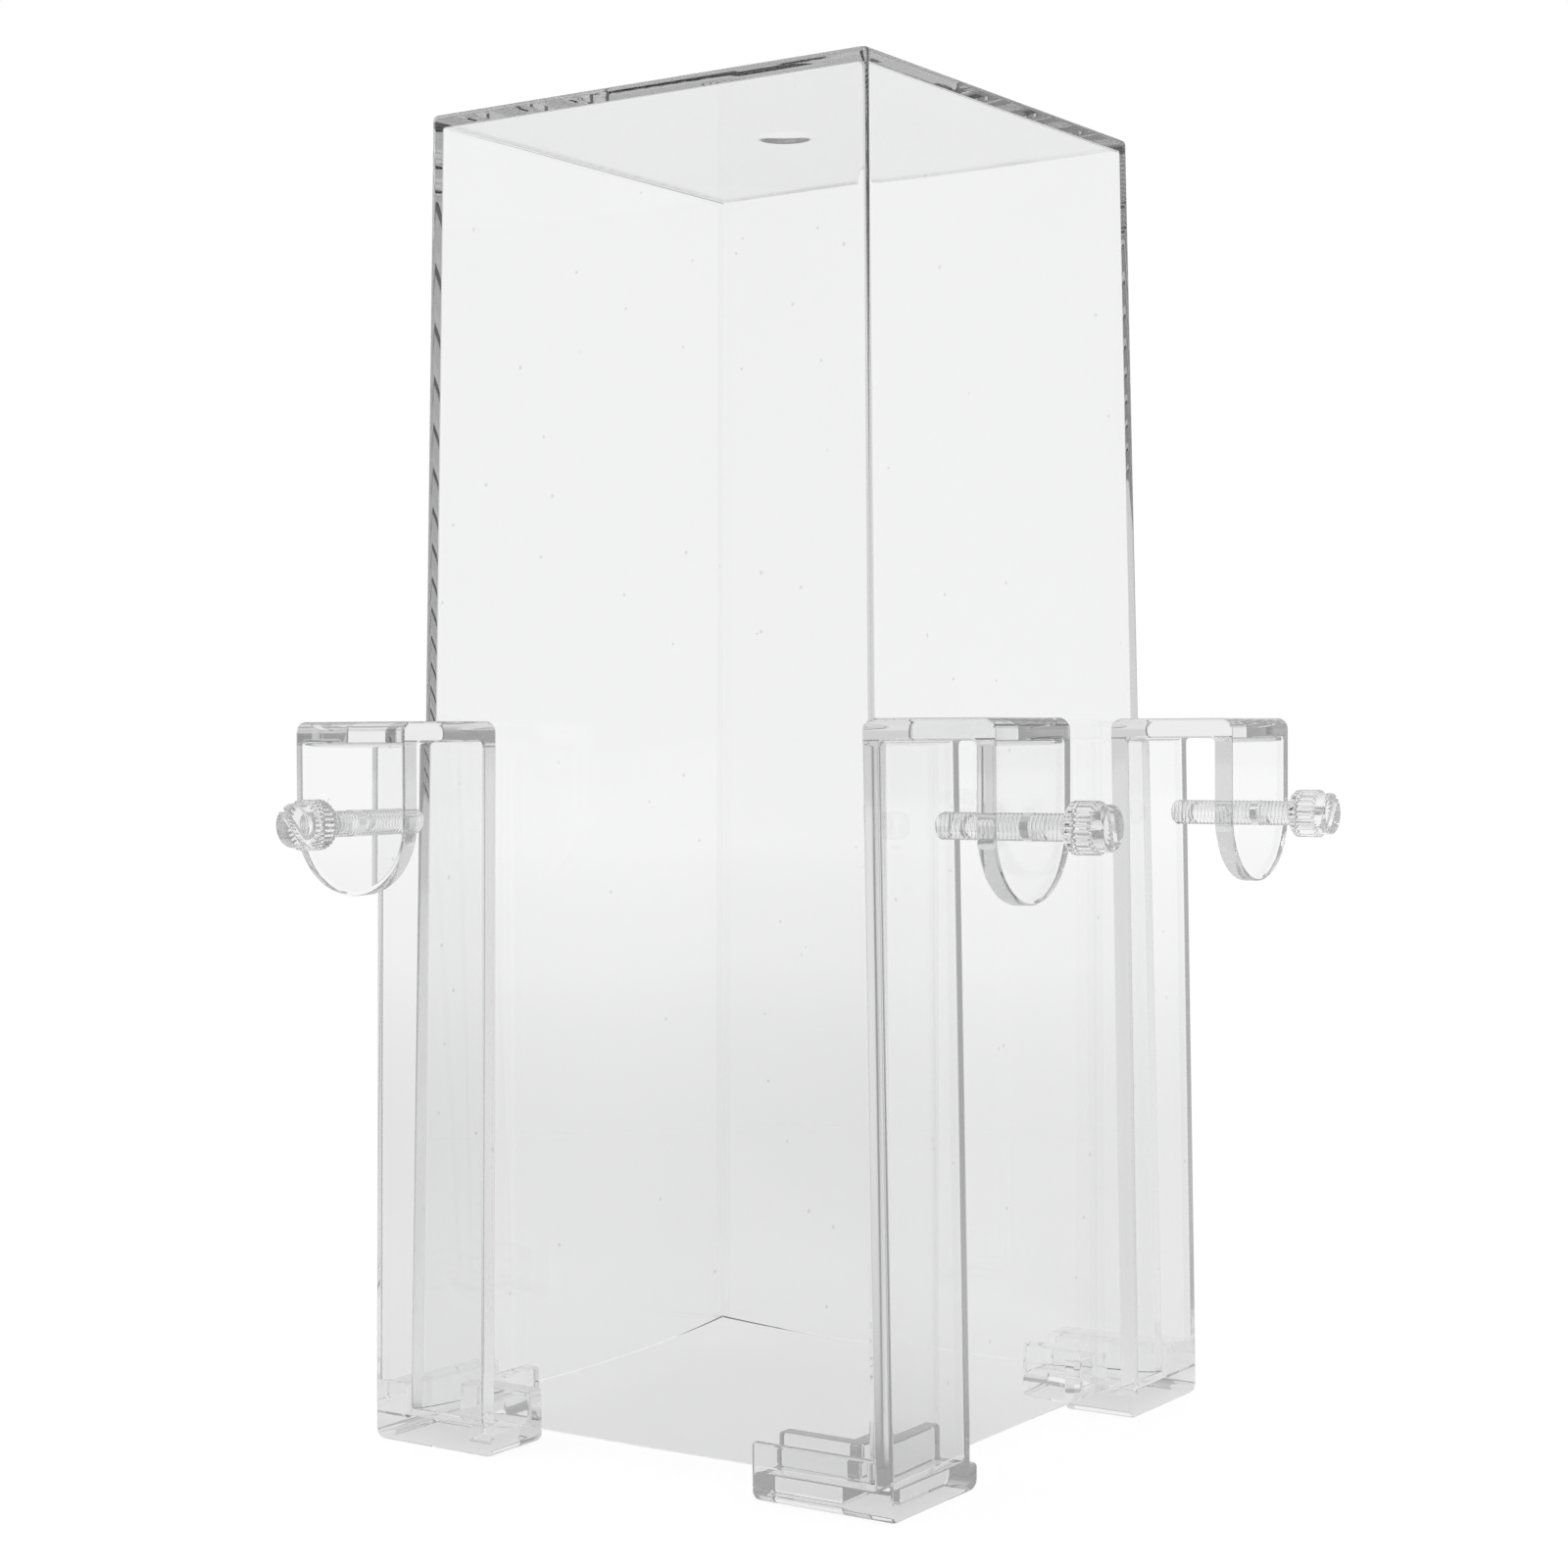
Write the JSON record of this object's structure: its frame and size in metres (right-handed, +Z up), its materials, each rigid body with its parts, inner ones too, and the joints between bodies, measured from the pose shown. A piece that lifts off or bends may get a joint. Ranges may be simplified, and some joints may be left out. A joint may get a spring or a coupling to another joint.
{
  "type": "hanging fish tank",
  "caption": "Clear tapered box that stands open end down on the feet of hook brackets, each clamped to an aquarium's rim by a knurled thumbscrew.",
  "frame": {"origin": "middle of the whole object's footprint, at the underside of the feet; the tank's axis is at x = -0.0170 m, y = 0.0147 m", "axes": "+Z up, the way the tank stands; the near and right hooks face +X and the left hook faces -Y"},
  "size_m": [0.1528, 0.1574, 0.256],
  "materials": {
    "tank_clear": "clear, polished, injection moulded",
    "bracket_clear": "clear, slightly hazy, injection moulded",
    "screw_clear": "clear, polished, injection moulded"
  },
  "bodies": {
    "tank": {"tank": "tank_clear"},
    "near_bracket": {"near_bracket": "bracket_clear"},
    "near_thumbscrew": {"near_thumbscrew": "screw_clear"},
    "left_bracket": {"left_bracket": "bracket_clear"},
    "left_thumbscrew": {"left_thumbscrew": "screw_clear"},
    "right_bracket": {"right_bracket": "bracket_clear"},
    "right_thumbscrew": {"right_thumbscrew": "screw_clear"}
  },
  "joints": [
    {"name": "near_bracket_drop", "type": "slide", "parent": "tank", "child": "near_bracket", "axis": [0, 0, -1], "range_m": [0, 0.012]},
    {"name": "near_screw_travel", "type": "slide", "parent": "near_bracket", "child": "near_thumbscrew", "axis": [1, 0, 0], "range_m": [-0.0036, 0.0147]},
    {"name": "left_bracket_drop", "type": "slide", "parent": "tank", "child": "left_bracket", "axis": [0, 0, -1], "range_m": [0, 0.012]},
    {"name": "left_screw_travel", "type": "slide", "parent": "left_bracket", "child": "left_thumbscrew", "axis": [0, -1, 0], "range_m": [-0.0036, 0.0147]},
    {"name": "right_bracket_drop", "type": "slide", "parent": "tank", "child": "right_bracket", "axis": [0, 0, -1], "range_m": [0, 0.012]},
    {"name": "right_screw_travel", "type": "slide", "parent": "right_bracket", "child": "right_thumbscrew", "axis": [1, 0, 0], "range_m": [-0.0036, 0.0147]}
  ]
}
